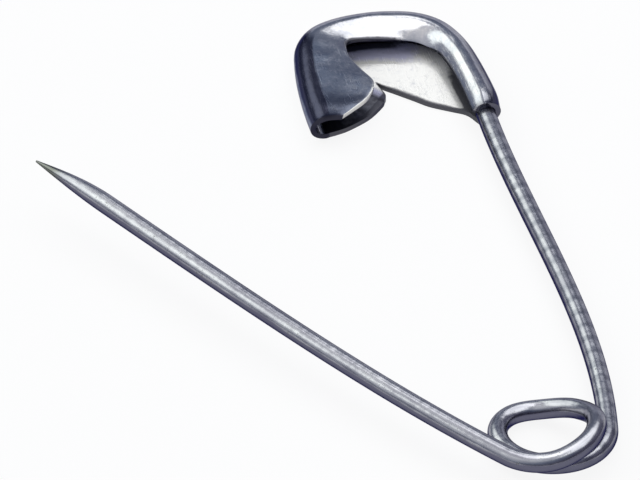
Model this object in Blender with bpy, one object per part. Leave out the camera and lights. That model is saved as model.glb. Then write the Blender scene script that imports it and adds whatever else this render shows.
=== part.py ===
# Safety pin: one length of spring wire with a coil at its tail, and a stamped cap folded over its fixed end.
# +Y runs from the coil to the cap, the open side of the cap faces +Z, and the coil turns about Z.

import math

import bmesh
import bpy
from mathutils import Vector

mm = 0.001
whole_turn = 2 * math.pi

# Spring wire
wire_diameter = 1.3 * mm
wire_radius = wire_diameter / 2
wire_resolution = 4
split_gap = 0.3 * mm  # left where one length of the wire is divided into two pieces
wire_colour = (0.62, 0.63, 0.66)
wire_roughness = 0.22

# Tail coil
coil_mean_radius = 3.49 * mm
coil_slip = Vector((-1.1, -1.25)) * mm  # how far the moving arm's turn has slid over the fixed arm's turn
# Height of the wire's middle, at even steps from the fixed arm to the moving arm, in shares of wire_diameter:
# the side away from the cap stands higher, and the moving arm's turn crosses over the fixed arm's turn
coil_height_shares = (0.82, 0.84, 0.86, 0.80, 0.70, 0.61, 0.69, 1.42, 2.12, 2.18, 1.84, 1.76)
coil_points_per_turn = 40
coil_apart_share = 0.5  # of a turn: places closer along the wire than this aren't measured against each other

# Cap, stamped from sheet: its own frame starts where the fixed arm enters it
cap_sheet = 0.35 * mm
cap_span = 10.3 * mm  # between the middles of its two side beads
cap_rise = 11.6 * mm
cap_end_slant = 0.6 * mm  # how much shorter the bead's two ends are at the back
wire_clearance = 0.15 * mm  # between the wire and the sheet rolled over it
bead_radius = wire_radius + wire_clearance + cap_sheet
cap_depth = 2 * bead_radius
cap_colour = (0.66, 0.67, 0.69)
cap_roughness = 0.26
sharp_angle = math.radians(40)

# Fixed arm
back_arm_reach = 32.85 * mm  # coil axis to cap, along Y
back_arm_offset = 4.39 * mm  # coil axis to cap, along X
back_arm_lean = math.radians(12.5)  # how far it leans out where it leaves the coil
back_arm_points = 26
hook_split = 2.2 * mm  # how far inside the cap the hooked end starts
hook_end_share = 0.58  # of the bead, counted from the fixed arm's side

# Moving arm, open and relaxed
arm_length = 42.4 * mm
arm_open_angle = math.radians(37)  # from Y, where it leaves the coil
arm_bow_angle = math.radians(8.5)  # how far it has turned back at its point
arm_splay_angle = math.radians(1.5)  # upwards, to swing over the cap
arm_root_length = 4.0 * mm
arm_steps = 60
point_length = 6.4 * mm
point_tip_share = 0.1  # of the wire's radius, left at the very tip
point_set_share = 0.6  # of what is ground away: how far the tip sits towards the outer side

# Rows of the bead, from the fixed arm's side round to the guard:
# bead x and y, free edge x and y, and how far the free edge is crimped down.
# x is a share of cap_span, y of cap_rise, and the crimp of cap_depth.
bead_shares = (
    (0.000, 0.045, -0.112, 0.060, 0.30),
    (0.006, 0.220, -0.120, 0.220, 0.30),
    (-0.002, 0.405, -0.128, 0.404, 0.30),
    (-0.020, 0.600, -0.138, 0.570, 0.30),
    (-0.055, 0.745, -0.160, 0.690, 0.28),
    (-0.125, 0.873, -0.214, 0.765, 0.26),
    (-0.250, 0.952, -0.301, 0.790, 0.22),
    (-0.420, 0.990, -0.427, 0.805, 0.16),
    (-0.580, 1.000, -0.544, 0.820, 0.10),
    (-0.730, 0.978, -0.631, 0.818, 0.07),
    (-0.835, 0.934, -0.684, 0.785, 0.05),
    (-0.903, 0.855, -0.714, 0.720, 0.05),
    (-0.937, 0.745, -0.711, 0.649, 0.05),
    (-0.966, 0.600, -0.672, 0.526, 0.05),
    (-0.987, 0.430, -0.632, 0.392, 0.05),
    (-0.998, 0.275, -0.720, 0.262, 0.05),
    (-1.000, 0.141, -0.915, 0.132, 0.04),
)
# Lower edge of the flat back panel: the guard's side as far as the notch, then on to the fixed arm
guard_edge_shares = (
    (-0.981, 0.200),
    (-0.834, 0.232),
    (-0.689, 0.300),
    (-0.583, 0.386),
    (-0.534, 0.474),
    (-0.558, 0.579),
)
panel_edge_shares = ((-0.440, 0.474), (-0.287, 0.333), (-0.075, 0.200))
rest_shares = (-0.36, 0.64)  # the part's origin, on the back of the panel
bead_steps = 3
bead_sides = 8
flap_steps = 4
edge_steps = 4


def clear_scene():
    for obj in list(bpy.data.objects):
        bpy.data.objects.remove(obj, do_unlink=True)


def smooth_row(before, start, end, after, t):
    # Catmull-Rom between start and end, value by value
    return [
        0.5 * (2 * b + (c - a) * t + (2 * a - 5 * b + 4 * c - d) * t**2 + (3 * b - a - 3 * c + d) * t**3)
        for a, b, c, d in zip(before, start, end, after)
    ]


def smooth_rows(rows, steps):
    # The rows with steps - 1 more between each pair, on a smooth curve through all of them
    padded = [rows[0], *rows, rows[-1]]
    out = []
    for i in range(len(rows) - 1):
        out += [smooth_row(*padded[i : i + 4], k / steps) for k in range(steps)]
    return out + [list(rows[-1])]


def eased(t):
    t = min(max(t, 0), 1)
    return t**3 * (t * (6 * t - 15) + 10)


def coil_height(share):
    # How high the wire's middle is, this share of the way round the coil
    at = share * (len(coil_height_shares) - 1)
    i = min(int(at), len(coil_height_shares) - 2)
    padded = [coil_height_shares[0], *coil_height_shares, coil_height_shares[-1]]
    values = [[value] for value in padded[i : i + 4]]
    return smooth_row(*values, at - i)[0] * wire_diameter


def heading(angle):
    # Level direction, turned this far from Y towards -X
    return Vector((-math.sin(angle), math.cos(angle), 0))


def path_lengths(points):
    lengths = [0]
    for a, b in zip(points, points[1:]):
        lengths.append(lengths[-1] + (b - a).length)
    return lengths


def cut_path(points, start, end):
    # The stretch of a path between two distances along it
    lengths = path_lengths(points)
    out = []
    for i in range(len(points) - 1):
        low, high = lengths[i], lengths[i + 1]
        for at in (start, end):
            if low <= at < high:
                out.append((at, points[i].lerp(points[i + 1], (at - low) / (high - low))))
        if start < high < end:
            out.append((high, points[i + 1]))
    out.sort(key=lambda pair: pair[0])
    return [point for _, point in out]


def coil_point(turned, sweep):
    # A place on the coil's middle line, turned this far from the fixed arm
    single_start = sweep - whole_turn
    climb = eased((turned - single_start) / (whole_turn - single_start))
    angle = -back_arm_lean - turned
    return Vector(
        (
            coil_mean_radius * math.cos(angle) + coil_slip.x * climb,
            coil_mean_radius * math.sin(angle) + coil_slip.y * climb,
            coil_height(turned / sweep),
        )
    )


def coil_path():
    # The two arms leave on opposite sides, so the wire goes round once and a part more
    sweep = 1.5 * whole_turn - back_arm_lean - arm_open_angle
    count = round(coil_points_per_turn * sweep / whole_turn)
    return [coil_point(sweep * i / count, sweep) for i in range(count + 1)]


def back_arm_path(start, bead):
    # From the coil up to where the bead starts, leaving both in line with them
    end = bead[0]
    run = (end - start).length
    leave = heading(-back_arm_lean) * run
    arrive = (bead[1] - bead[0]).normalized() * run
    points = []
    for i in range(back_arm_points + 1):
        t = i / back_arm_points
        points.append(
            start * (2 * t**3 - 3 * t**2 + 1)
            + leave * (t**3 - 2 * t**2 + t)
            + end * (3 * t**2 - 2 * t**3)
            + arrive * (t**3 - t**2)
        )
    return points


def arm_path(start):
    # From the coil to the tip: bent most where it leaves the coil, straight towards the tip
    step = arm_length / arm_steps
    rise = Vector((0, 0, math.tan(arm_splay_angle)))
    points = [start]
    for i in range(arm_steps):
        left = 1 - i / arm_steps
        angle = arm_open_angle - arm_bow_angle * (1 - left**3)
        points.append(points[-1] + (heading(angle) + rise) * step)
    return points


def ground_point(points):
    # The last stretch, ground from one side so that the other side stays straight, and its radii
    along = (points[-1] - points[0]).normalized()
    outer = Vector((-along.y, along.x, 0)).normalized()
    lengths = path_lengths(points)
    placed = []
    radii = []
    for point, at in zip(points, lengths):
        left = 1 - at / lengths[-1]
        radius = point_tip_share + (1 - point_tip_share) * math.sin(left * math.pi / 2)
        placed.append(point + outer * wire_radius * (1 - radius) * point_set_share)
        radii.append(radius)
    return placed, radii


def cap_point(shares):
    # A place in the cap, seen from the coil's axis
    return Vector((back_arm_offset + cap_span * shares[0], back_arm_reach + cap_rise * shares[1]))


def bead_rows():
    return smooth_rows(bead_shares, bead_steps)


def bead_path():
    # The wire's way through the bead
    return [Vector((*cap_point(row[:2]), bead_radius)) for row in bead_rows()]


def bead_section(middle, inward, edge, crimp, slant):
    # Outer side of the sheet: from under the bead, round its outside, over the top and in to the free edge
    points = []
    for j in range(bead_sides + 1):
        angle = math.pi * (j / bead_sides - 0.5)
        flat = middle - inward * bead_radius * math.cos(angle)
        points.append(Vector((*flat, bead_radius * (1 + math.sin(angle)))))
    for j in range(1, flap_steps + 1):
        share = j / flap_steps
        flat = middle.lerp(edge, share)
        points.append(Vector((*flat, cap_depth * (1 - crimp * share**2))))
    for point in points:
        point.y += slant * (1 - point.z / cap_depth)
    return points


def add_empty(name, location, parent=None):
    empty = bpy.data.objects.new(name, None)
    empty.location = location
    empty.parent = parent
    empty.empty_display_size = coil_mean_radius
    bpy.context.collection.objects.link(empty)
    return empty


def add_material(obj, colour, roughness):
    material = bpy.data.materials.new(obj.name)
    material.use_nodes = True
    shader = material.node_tree.nodes["Principled BSDF"]
    shader.inputs["Base Color"].default_value = (*colour, 1)
    shader.inputs["Metallic"].default_value = 1
    shader.inputs["Roughness"].default_value = roughness
    obj.data.materials.append(material)


def add_wire(name, points, parent, radii=None):
    # A length of the wire along points, which are seen from the parent
    curve = bpy.data.curves.new(name, "CURVE")
    curve.dimensions = "3D"
    curve.bevel_depth = wire_radius
    curve.bevel_resolution = wire_resolution
    curve.use_fill_caps = True
    spline = curve.splines.new("POLY")
    spline.use_smooth = True
    spline.points.add(len(points) - 1)
    for i, point in enumerate(points):
        spline.points[i].co = (*point, 1)
        spline.points[i].radius = radii[i] if radii else 1
    obj = bpy.data.objects.new(name, curve)
    obj.parent = parent
    bpy.context.collection.objects.link(obj)
    add_material(obj, wire_colour, wire_roughness)


def add_cap(parent):
    mesh = bmesh.new()
    rows = bead_rows()
    middles = [cap_point(row[:2]) for row in rows]
    last = len(rows) - 1
    sections = []
    for i, row in enumerate(rows):
        along = middles[min(i + 1, last)] - middles[max(i - 1, 0)]
        inward = Vector((-along.y, along.x)).normalized()
        slant = cap_end_slant * max(0, 1 - min(i, last - i) / bead_steps)
        section = bead_section(middles[i], inward, cap_point(row[2:4]), row[4], slant)
        sections.append([mesh.verts.new(point) for point in section])
    for first, second in zip(sections, sections[1:]):
        for j in range(len(first) - 1):
            mesh.faces.new((first[j], first[j + 1], second[j + 1], second[j]))
    guard_edge = smooth_rows(guard_edge_shares, edge_steps)
    lower = [mesh.verts.new((*cap_point(shares), 0)) for shares in (*guard_edge, *panel_edge_shares)]
    mesh.faces.new([section[0] for section in sections] + lower)
    bmesh.ops.recalc_face_normals(mesh, faces=mesh.faces)
    under = min(mesh.faces, key=lambda face: face.calc_center_median().z)
    if under.normal.z > 0:
        bmesh.ops.reverse_faces(mesh, faces=mesh.faces)
    data = bpy.data.meshes.new("clasp_cap")
    mesh.to_mesh(data)
    mesh.free()
    data.shade_smooth()
    data.set_sharp_from_angle(angle=sharp_angle)
    cap = bpy.data.objects.new("clasp_cap", data)
    cap.parent = parent
    bpy.context.collection.objects.link(cap)
    thick = cap.modifiers.new("sheet", "SOLIDIFY")
    thick.thickness = cap_sheet
    thick.offset = -1
    thick.use_even_offset = True
    add_material(cap, cap_colour, cap_roughness)


def least_gap(points):
    apart = coil_apart_share * coil_points_per_turn
    return min(
        (a - b).length - wire_diameter
        for i, a in enumerate(points)
        for j, b in enumerate(points)
        if j - i > apart
    )


clear_scene()
coil_middle = Vector((*coil_slip / 2, 0))
pin_frame = add_empty("pin_frame", (*-cap_point(rest_shares), 0))
swing_axis = add_empty("swing_axis", coil_middle, pin_frame)

add_cap(pin_frame)

bead = bead_path()
hook_end = hook_end_share * path_lengths(bead)[-1]
add_wire("anchor_hook", cut_path(bead, hook_split + split_gap, hook_end), pin_frame)

coil = coil_path()
add_wire("spring_coil", coil, pin_frame)

back_arm = back_arm_path(coil[0], bead)[:-1] + cut_path(bead, 0, hook_split)
add_wire("back_arm", cut_path(back_arm, split_gap, path_lengths(back_arm)[-1]), pin_frame)

arm = arm_path(coil[-1] - coil_middle)
add_wire("arm_root", cut_path(arm, split_gap, arm_root_length), swing_axis)

tuck_pivot = cut_path(arm, arm_root_length + split_gap / 2, arm_length)[0]
tuck_axis = add_empty("tuck_axis", tuck_pivot, swing_axis)
moving = [point - tuck_pivot for point in arm]
arm_end = path_lengths(arm)[-1]
point_start = arm_end - point_length
add_wire("pin_arm", cut_path(moving, arm_root_length + split_gap, point_start), tuck_axis)
place, radii = ground_point(cut_path(moving, point_start + split_gap, arm_end))
add_wire("pin_point", place, tuck_axis, radii)

print(f"least gap of the coil to itself: {least_gap(coil) / mm:.3f} mm")
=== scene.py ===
import math

import bpy
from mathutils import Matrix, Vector, noise
from mathutils.kdtree import KDTree


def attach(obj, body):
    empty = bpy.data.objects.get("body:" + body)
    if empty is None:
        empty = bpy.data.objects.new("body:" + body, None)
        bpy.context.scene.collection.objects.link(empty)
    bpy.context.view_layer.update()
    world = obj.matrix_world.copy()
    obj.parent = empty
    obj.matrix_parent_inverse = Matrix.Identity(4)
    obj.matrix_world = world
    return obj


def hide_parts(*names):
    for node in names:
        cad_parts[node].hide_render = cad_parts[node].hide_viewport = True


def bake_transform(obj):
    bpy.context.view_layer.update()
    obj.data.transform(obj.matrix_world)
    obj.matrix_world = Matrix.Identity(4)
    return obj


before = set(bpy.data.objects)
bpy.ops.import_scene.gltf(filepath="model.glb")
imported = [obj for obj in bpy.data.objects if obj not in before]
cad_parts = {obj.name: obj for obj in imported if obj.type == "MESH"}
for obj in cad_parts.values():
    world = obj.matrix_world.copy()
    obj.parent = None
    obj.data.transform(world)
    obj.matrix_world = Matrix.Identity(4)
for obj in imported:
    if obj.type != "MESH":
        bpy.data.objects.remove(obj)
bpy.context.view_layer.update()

mm = 0.001
turn = 2 * math.pi
# middle of the coil on the rest plane: the wire and the cap start from it
coilAxis = Vector((-0.682, -40.274, 0)) * mm


def selectOnly(piece):
    bpy.ops.object.select_all(action="DESELECT")
    piece.select_set(True)
    bpy.context.view_layer.objects.active = piece


def settle(piece, angle):
    # place into the mesh, soft shading up to the angle
    selectOnly(piece)
    bpy.ops.object.transform_apply(location=True, rotation=True, scale=True)
    bpy.ops.object.shade_smooth_by_angle(angle=angle)


def applyModifier(piece, kind, **settings):
    selectOnly(piece)
    modifier = piece.modifiers.new(kind.lower(), kind)
    for key, value in settings.items():
        setattr(modifier, key, value)
    bpy.ops.object.modifier_apply(modifier=modifier.name)


def eased(t):
    t = min(max(t, 0), 1)
    return t**3 * (t * (6 * t - 15) + 10)


def rising(value, start, stop):
    # 0 before the start, 1 past the stop, which may also be the lower of the two
    return eased((value - start) / (stop - start))


def within(value, before, first, last, after):
    # 1 from the first to the last, 0 before and after
    return rising(value, before, first) * rising(value, after, last)


def smoothRow(rows, at):
    # a smooth curve through a table of rows, at counted in rows
    i = min(int(at), len(rows) - 2)
    t = at - i
    a, b, c, d = (rows[min(max(k, 0), len(rows) - 1)] for k in (i - 1, i, i + 1, i + 2))
    return [
        0.5 * (2 * q + (r - p) * t + (2 * p - 5 * q + 4 * r - s) * t**2 + (3 * q - p - 3 * r + s) * t**3)
        for p, q, r, s in zip(a, b, c, d)
    ]


def heading(angle):
    # level way, turned this far from the cap's side towards the open side
    return Vector((-math.sin(angle), math.cos(angle), 0))


def lengthsOf(route):
    # how far each point of a route is from its start
    out = [0]
    for a, b in zip(route, route[1:]):
        out.append(out[-1] + (b - a).length)
    return out


class Signal:
    # a shader socket that can be reckoned with
    def __init__(self, tree, socket):
        self.tree = tree
        self.socket = socket

    def maths(self, operation, first, second):
        node = self.tree.nodes.new("ShaderNodeMath")
        node.operation = operation
        for place, value in zip(node.inputs, (first, second)):
            if isinstance(value, Signal):
                self.tree.links.new(value.socket, place)
            else:
                place.default_value = value
        return Signal(self.tree, node.outputs[0])

    def __add__(self, other):
        return self.maths("ADD", self, other)

    def __radd__(self, other):
        return self.maths("ADD", other, self)

    def __sub__(self, other):
        return self.maths("SUBTRACT", self, other)

    def __rsub__(self, other):
        return self.maths("SUBTRACT", other, self)

    def __mul__(self, other):
        return self.maths("MULTIPLY", self, other)

    def __rmul__(self, other):
        return self.maths("MULTIPLY", other, self)

    def sine(self):
        return self.maths("SINE", self, 0)


class Recipe:
    # a node tree and the one way that nodes are added to it
    def __init__(self, owner):
        owner.use_nodes = True
        self.tree = owner.node_tree

    def fill(self, socket, value):
        if isinstance(value, Signal):
            self.tree.links.new(value.socket, socket)
        else:
            socket.default_value = value

    def node(self, kind, settings=None, out=0, **sockets):
        # sockets go by name, with _ for a space, or by number after an n
        node = self.tree.nodes.new(kind)
        settings = dict(settings or {})
        stops = settings.pop("stops", ())
        for key, value in settings.items():
            setattr(node, key, value)
        for i, (place, shade) in enumerate(stops):
            element = node.color_ramp.elements[i] if i < 2 else node.color_ramp.elements.new(place)
            element.position = place
            element.color = (*shade, 1) if isinstance(shade, tuple) else (shade, shade, shade, 1)
        for key, value in sockets.items():
            place = int(key[1:]) if key[1:].isdigit() else key.replace("_", " ")
            self.fill(node.inputs[place], value)
        return Signal(self.tree, node.outputs[out])

    def attribute(self, name, out="Fac"):
        return self.node("ShaderNodeAttribute", {"attribute_name": name}, out)

    def noise(self, where, width, detail=4, rough=0.55):
        # width is that of one blotch
        return self.node("ShaderNodeTexNoise", Vector=where, Scale=1 / width, Detail=detail, Roughness=rough)

    def ramp(self, value, *stops):
        return self.node("ShaderNodeValToRGB", {"stops": stops}, Fac=value)

    def stretch(self, where, scale, turned=0):
        return self.node("ShaderNodeMapping", Vector=where, Scale=scale, Rotation=(0, 0, turned))

    def tint(self, share, low, high):
        # mixes two colours, which are the Mix node's inputs 6 and 7 and its output 2
        return self.node("ShaderNodeMix", {"data_type": "RGBA"}, 2, n0=share, n6=low, n7=high)

    def finishAs(self, name, value):
        self.fill(self.tree.nodes["Principled BSDF"].inputs[name], value)


wirePlate = {
    "bright": (0.57, 0.575, 0.60, 1),
    "grey": (0.39, 0.39, 0.43, 1),
    "under": (0.10, 0.10, 0.15, 1),  # painted shade on the lower side
    "underShare": 0.94,
    "stain": (0.13, 0.14, 0.11, 1),  # of specks and of the ground point
    "speckShare": 0.7,
    "pointShare": 0.8,
    "rim": (0.20, 0.20, 0.27, 1),  # tint of what it mirrors at a slant
    "smooth": 0.17,
    "dull": 0.30,
    "speckDull": 0.2,
    "streakWidth": 0.14 * mm,
    "blotchWidth": 1.1 * mm,
    "chatterWidth": 0.62 * mm,
    "speckWidth": 0.16 * mm,
    "relief": 0.005 * mm,
    "ring": (0.22, 0.23, 0.27, 1),  # faint rings round the fixed arm
    "ringShare": 0.55,
    "ringPitch": 1.4 * mm,
    "ringsElsewhere": 0.15,  # share of the rings on the coil and the moving arm
}


def makeWirePlate():
    material = bpy.data.materials.new("drawnWirePlate")
    recipe = Recipe(material)
    along = recipe.attribute("drawn", "Vector")  # x and y round the wire, z along it
    streaks = recipe.noise(recipe.stretch(along, (1, 1, 0.05)), wirePlate["streakWidth"], 5, 0.65)
    blotches = recipe.noise(recipe.stretch(along, (1, 1, 0.5)), wirePlate["blotchWidth"])
    chatter = recipe.noise(recipe.stretch(along, (0.25, 0.25, 1)), wirePlate["chatterWidth"], 1, 0.4)
    specks = recipe.noise(along, wirePlate["speckWidth"], 2)
    shiny = recipe.ramp(blotches * 0.5 + streaks * 0.5, (0.40, 0), (0.60, 1))
    colour = recipe.tint(shiny, wirePlate["grey"], wirePlate["bright"])
    lengthways = recipe.node("ShaderNodeSeparateXYZ", out="Z", Vector=along)
    wave = (lengthways * (turn / wirePlate["ringPitch"])).sine()
    rings = recipe.ramp(wave * 0.5 + blotches, (0.45, 0), (0.95, 1)) * recipe.attribute("ringed")
    colour = recipe.tint(rings * wirePlate["ringShare"], colour, wirePlate["ring"])
    uneven = (blotches - 0.5) * 0.3 + (streaks - 0.5) * 0.3
    # painted shade: darker where the wire faces down
    paintedShadeMask = recipe.ramp(recipe.attribute("upward") + uneven, (0.30, 1), (0.62, 0))
    colour = recipe.tint(paintedShadeMask * wirePlate["underShare"], colour, wirePlate["under"])
    spots = recipe.ramp(specks, (0.62, 0), (0.70, 1)) * recipe.ramp(blotches, (0.46, 0), (0.60, 1))
    point = recipe.ramp(recipe.attribute("ground") + (streaks - 0.5) * 0.5, (0.30, 0), (0.55, 1))
    stained = spots * wirePlate["speckShare"] + point * wirePlate["pointShare"]
    recipe.finishAs("Base Color", recipe.tint(stained, colour, wirePlate["stain"]))
    recipe.finishAs("Metallic", 1)
    recipe.finishAs("Specular Tint", wirePlate["rim"])
    roughness = wirePlate["smooth"] + (wirePlate["dull"] - wirePlate["smooth"]) * streaks
    recipe.finishAs("Roughness", roughness + spots * wirePlate["speckDull"])
    height = streaks * 0.35 + chatter * 5 - spots * 0.3
    bump = recipe.node("ShaderNodeBump", Strength=1, Distance=wirePlate["relief"], Height=height)
    recipe.finishAs("Normal", bump)
    return material


capPlate = {
    "bright": (0.72, 0.71, 0.71, 1),
    "grey": (0.52, 0.53, 0.57, 1),
    "slate": (0.25, 0.29, 0.37, 1),  # painted reflection: the guard's face darkened as if it mirrored the dark room
    "slateReflectionShare": 0.95,
    "under": (0.055, 0.055, 0.085, 1),  # painted shade on the sides that face down
    "underShare": 0.92,
    "satin": (0.85, 0.84, 0.80, 1),  # inner face of the panel
    "flapShadeTint": (0.64, 0.64, 0.82, 1),  # painted shade on its part under the top flap
    "bare": (0.80, 0.79, 0.74, 1),  # rubbed edges
    "bareShare": 0.85,
    # painted shade with grime: near black along the roll, under the flaps' free edges, inside the guard and
    # at its cut end
    "shadeAndGrime": (0.03, 0.03, 0.045, 1),
    "shadeAndGrimeShare": 0.9,
    "rim": (0.30, 0.30, 0.38, 1),  # tint of what it mirrors at a slant
    "smooth": 0.13,
    "blotchWidth": 1.9 * mm,
    "mottleWidth": 0.45 * mm,
    "grainWidth": 0.06 * mm,
    "scratchWidths": (0.08 * mm, 0.11 * mm),
    "dish": 0.16,  # slope of the panel, which is pressed a little hollow
    "milky": 0.66,  # share of the panel's plate that is matt
}


def makeCapPlate():
    material = bpy.data.materials.new("stampedCapPlate")
    recipe = Recipe(material)
    place = recipe.node("ShaderNodeTexCoord", out="Object")
    satin = recipe.attribute("satin")
    blotches = recipe.noise(place, capPlate["blotchWidth"])
    mottle = recipe.noise(place, capPlate["mottleWidth"], 5, 0.6)
    grain = recipe.noise(place, capPlate["grainWidth"], 3)
    fine, wide = capPlate["scratchWidths"]
    fineLines = recipe.noise(recipe.stretch(place, (1, 0.05, 1), 0.6), fine, 2, 0.4)
    wideLines = recipe.noise(recipe.stretch(place, (1, 0.06, 1), -0.9), wide, 2, 0.4)
    scratches = recipe.ramp(fineLines, (0.64, 0), (0.68, 1)) + recipe.ramp(wideLines, (0.65, 0), (0.69, 1))
    shiny = recipe.ramp(blotches * 0.6 + mottle * 0.4, (0.4, 0), (0.6, 1))
    colour = recipe.tint(shiny, capPlate["grey"], capPlate["bright"])
    # painted shade: the panel turns lavender where its satin mark falls, under the top flap
    beyondFlapShade = recipe.ramp(satin + (mottle - 0.5) * 0.5, (0.60, 0), (0.85, 1))
    inner = recipe.tint(beyondFlapShade, capPlate["flapShadeTint"], capPlate["satin"])
    panel = recipe.ramp(satin, (0, 0), (0.3, 1))
    colour = recipe.tint(panel * recipe.ramp(mottle, (0.32, 0.5), (0.42, 1)), colour, inner)
    uneven = (mottle - 0.5) * 1.6 + (blotches - 0.5) * 0.8
    # painted reflection: the guard darkened to slate
    dark = recipe.ramp(recipe.attribute("slate") + uneven, (0.2, 0), (1.05, 1))
    colour = recipe.tint(dark * capPlate["slateReflectionShare"], colour, capPlate["slate"])
    # painted shade on the sides that face down, at the mouth and at the guard's cut end
    paintedShadeMask = recipe.ramp(recipe.attribute("paintedShadeMask") + (blotches - 0.5) * 0.4, (0.25, 0), (0.7, 1))
    colour = recipe.tint(paintedShadeMask * capPlate["underShare"], colour, capPlate["under"])
    # painted shade with grime along the roll, under the flaps' edges and inside the guard
    shadeAndDirt = recipe.ramp(recipe.attribute("hollow") + (mottle - 0.5) * 0.5, (0.3, 0), (0.8, 1))
    colour = recipe.tint(shadeAndDirt * capPlate["shadeAndGrimeShare"], colour, capPlate["shadeAndGrime"])
    worn = recipe.ramp(recipe.attribute("rubbed") + (mottle - 0.5) * 0.6, (0.35, 0), (0.75, 1))
    recipe.finishAs("Base Color", recipe.tint(worn * capPlate["bareShare"], colour, capPlate["bare"]))
    recipe.finishAs("Metallic", 1 - panel * capPlate["milky"])
    recipe.finishAs("Specular Tint", capPlate["rim"])
    rougher = satin * 0.10 + dark * 0.05 + scratches * 0.07 + shadeAndDirt * 0.25 + grain * 0.05
    recipe.finishAs("Roughness", capPlate["smooth"] + rougher)
    lift = recipe.node("ShaderNodeSeparateXYZ", out="Y", Vector=place) * (capPlate["dish"] / mm) * satin
    height = mottle * 0.007 + grain * 0.001 - scratches * 0.002 + blotches * 0.010 + lift
    recipe.finishAs("Normal", recipe.node("ShaderNodeBump", Strength=1, Distance=mm, Height=height))
    return material


wireMaterial = makeWirePlate()
capMaterial = makeCapPlate()
print("finishes: drawn wire and stamped cap")

cap = {
    "span": 10.3 * mm,
    "rise": 11.6 * mm,
    "offset": 4.39 * mm,  # coil to cap, across
    "reach": 32.85 * mm,  # coil to cap, along the fixed arm
    "sheet": 0.35 * mm,
    "bead": 1.144 * mm,  # outer radius of the rolled edge
    "endSlant": 0.6 * mm,
    "endTaper": 0.1,  # the end on the fixed arm closes a little on the wire
    "topSlope": math.radians(9),  # the top flap leaves the fold downwards
    "slopeRows": (2.5, 4.5, 8, 10),
    "edgeRound": 0.09 * mm,
    "crease": math.radians(50),  # sharper edges are rounded, softer ones shaded smooth
    "dent": 0.03 * mm,
    "dentWidth": 1.3 * mm,
    "rowSteps": 8,
    "panelSteps": 12,
    "beadSteps": 16,
    "flapSteps": 12,
    "armRows": (6.5, 4.5),  # rows over which the top turns into the side along the fixed arm
    "guardRows": (9, 12),  # and into the guard
    "lowerRows": (12, 16),  # and the guard into its lower part
    "mouthRows": 0.8,  # painted shade where the arm leaves the cap, over this many rows
    "mouthShade": 0.6,
    "shadeAndGrimeWidth": 1.3 * mm,  # of the painted shade and grime that lie along the roll, from its middle line
    "shadeAndGrimeFade": 0.5 * mm,
    "cornerRows": (2.6, 4.4, 5.6, 7),  # the corner, which gets little painted shade and grime
    "cornerSpared": 0.85,
    "guardShadeAndGrime": 0.75,  # painted shade and grime on the panel inside the guard
    "flapShade": 0.5,  # how far painted shade tints the panel under the top flap
    "rubbedEdge": 0.9,
}
# rows from the fixed arm round to the guard, in spans across and rises along:
# x y of the bead, x y and crimp of the free edge, x y of the panel's lower edge
capRows = (
    (0.000, 0.045, -0.092, 0.060, 0.30, -0.010, 0.062),
    (0.006, 0.220, -0.092, 0.220, 0.30, -0.042, 0.132),
    (-0.002, 0.405, -0.100, 0.404, 0.32, -0.085, 0.206),
    (-0.020, 0.600, -0.118, 0.570, 0.36, -0.175, 0.263),
    (-0.055, 0.745, -0.148, 0.690, 0.42, -0.287, 0.333),
    (-0.125, 0.873, -0.214, 0.775, 0.42, -0.366, 0.406),
    (-0.250, 0.952, -0.301, 0.812, 0.36, -0.440, 0.474),
    (-0.420, 0.990, -0.427, 0.832, 0.28, -0.480, 0.510),
    (-0.580, 1.000, -0.544, 0.843, 0.22, -0.520, 0.545),
    (-0.730, 0.978, -0.645, 0.838, 0.15, -0.558, 0.579),
    (-0.835, 0.934, -0.697, 0.791, 0.09, -0.534, 0.474),
    (-0.903, 0.855, -0.714, 0.720, 0.05, -0.553, 0.425),
    (-0.937, 0.745, -0.711, 0.649, 0.05, -0.583, 0.386),
    (-0.966, 0.600, -0.672, 0.526, 0.05, -0.689, 0.300),
    (-0.987, 0.430, -0.632, 0.392, 0.05, -0.834, 0.232),
    (-0.998, 0.275, -0.720, 0.262, 0.05, -0.920, 0.208),
    (-1.000, 0.141, -0.915, 0.132, 0.04, -0.981, 0.198),
)


def capPlace(x, y):
    return Vector((cap["offset"] + cap["span"] * x, cap["reach"] + cap["rise"] * y, 0)) + coilAxis


def finerRows():
    count = (len(capRows) - 1) * cap["rowSteps"] + 1
    return [smoothRow(capRows, i / cap["rowSteps"]) for i in range(count)]


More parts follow.
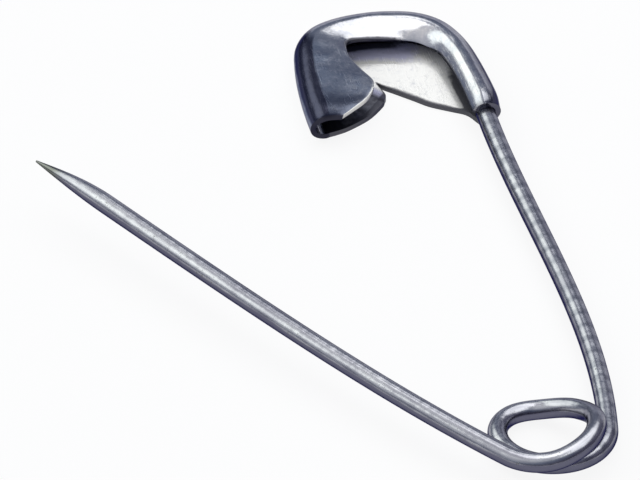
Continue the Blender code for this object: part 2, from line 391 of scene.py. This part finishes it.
def capSection(at, row, inward, slant, spine):
    # one cut through the sheet: lower edge of the panel, foot of the bead, round its outside, free edge
    middle = capPlace(*row[0:2])
    edge = capPlace(*row[2:4])
    low = capPlace(*row[5:7])
    around = cap["bead"] * (1 - cap["endTaper"] * rising(at, 1, 0))
    side = rising(at, *cap["armRows"])
    guard = rising(at, *cap["guardRows"])
    lower = rising(at, *cap["lowerRows"])
    mouth = cap["mouthShade"] * max(0, 1 - at / cap["mouthRows"])
    spared = 1 - cap["cornerSpared"] * within(at, *cap["cornerRows"])
    slope = cap["topSlope"] * within(at, *cap["slopeRows"])
    out = []
    for k in range(cap["panelSteps"]):
        share = k / cap["panelSteps"]
        place = low.lerp(middle + Vector((0, slant, 0)), share)
        near = min((place - point).length for point in spine)
        along = rising(near, cap["shadeAndGrimeWidth"], cap["shadeAndGrimeWidth"] - cap["shadeAndGrimeFade"])
        marks = {
            # painted shade with grime along the roll, at the panel's lower edge and inside the guard
            "hollow": spared * along + (k == 0) + cap["guardShadeAndGrime"] * guard,
            # the satin mark falls under the top flap, for painted shade there
            "satin": (1 - guard) * (1 - cap["flapShade"] * (1 - side) * rising(share, 0.45, 0.7)),
        }
        out.append((place, marks))
    for j in range(cap["beadSteps"] + 1):
        angle = (math.pi + slope) * j / cap["beadSteps"] - math.pi / 2
        place = middle - inward * around * math.cos(angle)
        place.z = cap["bead"] + around * math.sin(angle)
        place.y += slant * (1 - place.z / (2 * cap["bead"]))
        # painted shade where the roll faces down, more on the guard; painted reflection turns the guard's
        # roll slate
        facesDown = 1.15 - math.sin(angle) + 0.15 * side + (0.5 + 0.25 * lower) * guard - 2 * slope
        marks = {
            "paintedShadeMask": eased(facesDown) * (1 - guard * rising(j, 11.5, 8)) * (j > 1) + mouth,
            "slate": guard * rising(j, 5, 11),
        }
        out.append((place, marks))
    fold = place.copy()
    run = ((edge - fold) * Vector((1, 1, 0))).length * math.tan(slope)
    drop = fold.z - 2 * cap["bead"] * (1 - row[4])
    for k in range(1, cap["flapSteps"] + 1):
        share = k / cap["flapSteps"]
        place = fold.lerp(edge, share)
        place.z = fold.z - run * share - (drop - run) * share**2
        atEdge = share == 1
        # painted reflection turns the guard flap slate; painted shade lies on its lower part and at the
        # mouth, and painted shade with grime along the other flaps' free edge
        marks = {
            "slate": guard * (1 - 0.6 * share * (1 - lower)),
            "paintedShadeMask": guard * lower * 0.55 + mouth,
            "rubbed": cap["rubbedEdge"] * guard * atEdge,
            "hollow": spared * (1 - guard) * rising(share, 0.8, 1),
        }
        out.append((place, marks))
    return out


def makeCap():
    rows = finerRows()
    count = len(rows)
    middles = [capPlace(*row[0:2]) for row in rows]
    sections = []
    for i, row in enumerate(rows):
        along = middles[min(i + 1, count - 1)] - middles[max(i - 1, 0)]
        inward = Vector((-along.y, along.x, 0)).normalized()
        fromEnd = min(i, count - 1 - i) / cap["rowSteps"]
        slant = cap["endSlant"] * max(0, 1 - fromEnd)
        sections.append(capSection(i / cap["rowSteps"], row, inward, slant, middles))
    wide = len(sections[0])
    bpy.ops.object.select_all(action="DESELECT")
    bpy.ops.mesh.primitive_grid_add(x_subdivisions=wide - 1, y_subdivisions=count - 1, size=cap["span"])
    piece = bpy.context.object
    piece.name = "capShell"
    for name in ("slate", "paintedShadeMask", "satin", "rubbed", "hollow"):
        piece.data.attributes.new(name, "FLOAT", "POINT")
    for i in range(count):
        for j in range(wide):
            place, marks = sections[i][j]
            vertex = piece.data.vertices[i * wide + j]
            # shallow dents, mostly downwards, deeper towards the top and none at the two ends
            lift = place.z / (2 * cap["bead"]) * (0 < i < count - 1)
            place.z += cap["dent"] * (noise.noise(place / cap["dentWidth"]) - 0.6) * lift
            vertex.co = place
            if i == count - 1:
                marks = {"hollow": 1, "paintedShadeMask": 1}  # painted shade and grime on the cut edge at the guard's open end
            for name, value in marks.items():
                piece.data.attributes[name].data[i * wide + j].value = value
    piece.data.update()
    # the grid is the sheet's outer face: its panel has to face down before the sheet gets its thickness
    panel = [face for face in piece.data.polygons if face.center.z < 0.01 * mm]
    if sum(face.normal.z * face.area for face in panel) > 0:
        bpy.ops.object.mode_set(mode="EDIT")
        bpy.ops.mesh.select_all(action="SELECT")
        bpy.ops.mesh.flip_normals()
        bpy.ops.object.mode_set(mode="OBJECT")
    applyModifier(piece, "SOLIDIFY", thickness=cap["sheet"], offset=-1, use_even_offset=True)
    applyModifier(
        piece, "BEVEL", width=cap["edgeRound"], segments=3, limit_method="ANGLE", angle_limit=cap["crease"]
    )
    settle(piece, cap["crease"])
    piece.data.materials.append(capMaterial)
    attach(piece, "pin_frame")
    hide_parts("clasp_cap")
    print("cap:", len(piece.data.polygons), "faces")


makeCap()

wire = {
    "radius": 0.648 * mm,
    "sides": 28,
    "crease": math.radians(40),  # softer edges are shaded smooth
    "coilRadius": 3.49 * mm,
    "coilSlip": Vector((-1.1, -1.235, 0)) * mm,  # of the moving arm's turn over the fixed arm's
    "coilHeights": (0.82, 0.84, 0.86, 0.80, 0.70, 0.61, 0.69, 1.42, 2.12, 2.18, 1.84, 1.76),  # at even steps
    "coilHeightUnit": 1.3 * mm,  # of the heights above
    "coilSteps": 110,  # for each turn
    "shaftSteps": 100,
    "lean": math.radians(12.5),  # of the fixed arm at the coil
    "hookShare": 0.58,  # of the rolled edge that the hooked end fills
    "firstSeam": math.radians(166),  # the winding stretch of the coil lies between the seams
    "lastSeam": math.radians(350),
}
arm = {
    "length": 42.4 * mm,
    "openAngle": math.radians(37),
    "bow": math.radians(8.5),
    "splay": math.tan(math.radians(1.5)),
    "steps": 160,
    "ground": 6.4 * mm,  # length of the ground point
    "tipShare": 0.1,  # of the wire's thickness
    "setShare": 0.6,  # how far the tip sits towards the outer side
}
sweep = 1.5 * turn - wire["lean"] - arm["openAngle"]  # of the whole coil


def coilPlace(turned):
    climb = eased((turned - (sweep - turn)) / (2 * turn - sweep))
    angle = -wire["lean"] - turned
    place = Vector((math.cos(angle), math.sin(angle), 0)) * wire["coilRadius"] + wire["coilSlip"] * climb
    heights = [(value,) for value in wire["coilHeights"]]
    place.z = smoothRow(heights, turned / sweep * (len(heights) - 1))[0] * wire["coilHeightUnit"]
    return place + coilAxis


def coilRoute(first, last):
    count = round(wire["coilSteps"] * (last - first) / turn)
    return [coilPlace(first + (last - first) * i / count) for i in range(count + 1)]


def fixedRoute():
    # the hooked end inside the cap, the fixed arm, and the coil's first stretch
    bead = [capPlace(*row[0:2]) + Vector((0, 0, cap["bead"])) for row in finerRows()]
    along = lengthsOf(bead)
    hook = [place for place, at in zip(bead, along) if at < wire["hookShare"] * along[-1]]
    start = coilPlace(0)
    run = (hook[0] - start).length
    leave = heading(-wire["lean"]) * run
    arrive = (hook[1] - hook[0]).normalized() * run
    shaft = []
    for i in range(1, wire["shaftSteps"]):
        t = i / wire["shaftSteps"]
        shaft.append(
            start * (2 * t**3 - 3 * t**2 + 1)
            + leave * (t**3 - 2 * t**2 + t)
            + hook[0] * (3 * t**2 - 2 * t**3)
            + arrive * (t**3 - t**2)
        )
    return hook[::-1] + shaft[::-1] + coilRoute(0, wire["firstSeam"])


def armRoute():
    # the coil's last stretch and the arm out to its point, with the wire's thickness all along
    route = coilRoute(wire["lastSeam"], sweep)
    shares = [1.0] * len(route)
    bend = len(route)
    for i in range(arm["steps"]):
        left = 1 - i / arm["steps"]
        way = heading(arm["openAngle"] - arm["bow"] * (1 - left**3)) + Vector((0, 0, arm["splay"]))
        route.append(route[-1] + way * arm["length"] / arm["steps"])
    outer = heading(arm["openAngle"] - arm["bow"] + math.pi / 2)
    along = lengthsOf(route)
    for i in range(bend, len(route)):
        left = min(1, (along[-1] - along[i]) / arm["ground"])
        share = arm["tipShare"] + (1 - arm["tipShare"]) * math.sin(left * math.pi / 2)
        shares.append(share)
        route[i] = route[i] + outer * wire["radius"] * (1 - share) * arm["setShare"]
    return route, shares


def markWire(piece, route, shares, ringed):
    # for the finish: where each point of the mesh is round the wire and along it, and how far it faces up
    tree = KDTree(len(route))
    for i, place in enumerate(route):
        tree.insert(place, i)
    tree.balance()
    along = lengthsOf(route)
    up = Vector((0, 0, 1))
    frames = []
    for i in range(len(route)):
        way = (route[min(i + 1, len(route) - 1)] - route[max(i - 1, 0)]).normalized()
        up = (up - way * up.dot(way)).normalized()
        frames.append((up.copy(), way.cross(up)))
    piece.data.attributes.new("drawn", "FLOAT_VECTOR", "POINT")
    for name in ("upward", "ground", "ringed"):
        piece.data.attributes.new(name, "FLOAT", "POINT")
    marks = {name: piece.data.attributes[name].data for name in ("drawn", "upward", "ground", "ringed")}
    for i, vertex in enumerate(piece.data.vertices):
        nearest = tree.find(vertex.co)[1]
        top, level = frames[nearest]
        off = vertex.co - route[nearest]
        marks["drawn"][i].vector = (off.dot(top), off.dot(level), along[nearest])
        marks["upward"][i].value = off.normalized().dot(top)
        marks["ground"][i].value = 1 - shares[nearest]
        marks["ringed"][i].value = ringed


def makeWire(name, route, shares=None, ringed=wirePlate["ringsElsewhere"]):
    shares = shares or [1] * len(route)
    bpy.ops.object.select_all(action="DESELECT")
    bpy.ops.curve.primitive_nurbs_path_add(location=(0, 0, 0))
    piece = bpy.context.object
    piece.name = name
    spline = piece.data.splines[0]
    spline.type = "POLY"
    spline.points.add(len(route) - len(spline.points))
    for i, place in enumerate(route):
        spline.points[i].co = (*place, 1)
        spline.points[i].radius = shares[i]
    piece.data.bevel_depth = wire["radius"]
    piece.data.bevel_resolution = (wire["sides"] - 4) // 2
    piece.data.use_fill_caps = True
    bpy.ops.object.convert(target="MESH")
    bpy.ops.object.mode_set(mode="EDIT")
    bpy.ops.mesh.select_all(action="SELECT")
    bpy.ops.mesh.remove_doubles(threshold=0.001 * mm)
    bpy.ops.mesh.normals_make_consistent(inside=False)
    bpy.ops.object.mode_set(mode="OBJECT")
    settle(piece, wire["crease"])
    markWire(piece, route, shares, ringed)
    piece.data.materials.append(wireMaterial)
    print("wire:", name, len(piece.data.polygons), "faces")
    return piece


fixedWire = makeWire("fixedWire", fixedRoute(), ringed=1)
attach(fixedWire, "pin_frame")
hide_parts("anchor_hook", "back_arm")

coilWire = makeWire("coilWire", coilRoute(wire["firstSeam"], wire["lastSeam"]))
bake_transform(coilWire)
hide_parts("spring_coil")

armWire = makeWire("armWire", *armRoute())
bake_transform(armWire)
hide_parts("arm_root", "pin_arm", "pin_point")

studio = {
    "azimuth": math.radians(-14.35),
    "elevation": math.radians(37.04),
    "lens": 1100,  # so long that nearer parts look no larger, as in the photograph
    "viewWidth": 40.71 * mm,
    "aim": (-14.84 * mm, 13.0 * mm),  # from the coil to the middle of the view, across and up it
    "floor": (0.93, 0.93, 0.94, 1),
    "floorSize": 6,
    "floorDrop": 0.01 * mm,
    "floorGlow": 0.88,  # share of plain white that the camera and the metal see in the floor
    "dim": (0.12, 0.12, 0.18),  # the room low on the right
    "slate": (0.17, 0.20, 0.28),
    "pale": (0.70, 0.71, 0.76),  # the room high on the left
    "paleWay": (-0.50, 0.10, 0.86),
}
# name, place in metres, what it faces, width, height, brightness in a mirror, colour
softboxes = (
    ("ceilingBox", (0.29, 0.08, 0.5), (0.29, 0.08, 0), 0.48, 0.90, 1.40, (1, 1, 0.98)),
    ("cornerBox", (-0.045, 0.10, 0.5), (-0.045, 0.10, 0), 0.19, 0.34, 1.40, (1, 1, 0.98)),
    ("leftBox", (-0.392, 0.347, 0.375), (0, 0, 0), 0.77, 0.34, 1.20, (0.95, 1, 0.90)),
    ("backBox", (0.25, 0.52, 0.10), (0, 0, 0), 0.60, 0.18, 0.50, (0.92, 0.95, 1)),
)


def makeFloor():
    bpy.ops.object.select_all(action="DESELECT")
    bpy.ops.mesh.primitive_plane_add(size=studio["floorSize"], location=(0, 0, -studio["floorDrop"]))
    floor = bpy.context.object
    floor.name = "floor"
    material = bpy.data.materials.new("paleFloor")
    recipe = Recipe(material)
    recipe.finishAs("Base Color", studio["floor"])
    recipe.finishAs("Roughness", 0.9)
    recipe.finishAs("Specular IOR Level", 0)
    nodes = material.node_tree.nodes
    inView = recipe.node("ShaderNodeLightPath", out="Is Camera Ray")
    inMetal = recipe.node("ShaderNodeLightPath", out="Is Glossy Ray")
    throughGlass = recipe.node("ShaderNodeLightPath", out="Is Transmission Ray")
    seen = inView + inMetal + throughGlass
    white = recipe.node("ShaderNodeEmission", Color=(1, 1, 1, 1), Strength=1)
    lit = Signal(material.node_tree, nodes["Principled BSDF"].outputs[0])
    mixed = recipe.node("ShaderNodeMixShader", n0=seen * studio["floorGlow"], n1=lit, n2=white)
    recipe.fill(nodes["Material Output"].inputs["Surface"], mixed)
    floor.data.materials.append(material)


def makeSoftbox(name, place, faces, width, height, glow, colour):
    lamp = bpy.data.lights.new(name, "AREA")
    lamp.shape = "RECTANGLE"
    lamp.size = width
    lamp.size_y = height
    lamp.color = colour
    lamp.energy = glow * math.pi * width * height
    holder = bpy.data.objects.new(name, lamp)
    holder.location = place
    holder.rotation_mode = "QUATERNION"
    holder.rotation_quaternion = (Vector(faces) - Vector(place)).to_track_quat("-Z", "Y")
    bpy.context.scene.collection.objects.link(holder)


def makeRoom():
    # a pale room high on the left, a dark one low on the right
    world = bpy.data.worlds.new("studioRoom")
    recipe = Recipe(world)
    bpy.context.scene.world = world
    way = recipe.node("ShaderNodeTexCoord")
    settings = {"operation": "DOT_PRODUCT"}
    bright = recipe.node("ShaderNodeVectorMath", settings, "Value", n0=way, n1=studio["paleWay"])
    shade = recipe.ramp(bright, (0.0, studio["dim"]), (0.9, studio["pale"]), (0.5, studio["slate"]))
    recipe.fill(world.node_tree.nodes["Background"].inputs["Color"], shade)


def makeCamera():
    across = studio["azimuth"]
    up = studio["elevation"]
    level = math.cos(up)
    back = Vector((math.sin(across) * level, -math.cos(across) * level, math.sin(up)))
    right = Vector((math.cos(across), math.sin(across), 0))
    aim = coilAxis + right * studio["aim"][0] + back.cross(right) * studio["aim"][1]
    data = bpy.data.cameras.new("camera")
    data.lens = studio["lens"]
    camera = bpy.data.objects.new("camera", data)
    camera.location = aim + back * studio["viewWidth"] * data.lens / data.sensor_width
    camera.rotation_mode = "QUATERNION"
    camera.rotation_quaternion = (-back).to_track_quat("-Z", "Y")
    bpy.context.scene.collection.objects.link(camera)
    bpy.context.scene.camera = camera


makeFloor()
makeRoom()
for box in softboxes:
    makeSoftbox(*box)
makeCamera()
bpy.context.scene.view_settings.view_transform = "Standard"
print("studio: floor, room,", len(softboxes), "lamps and the camera")
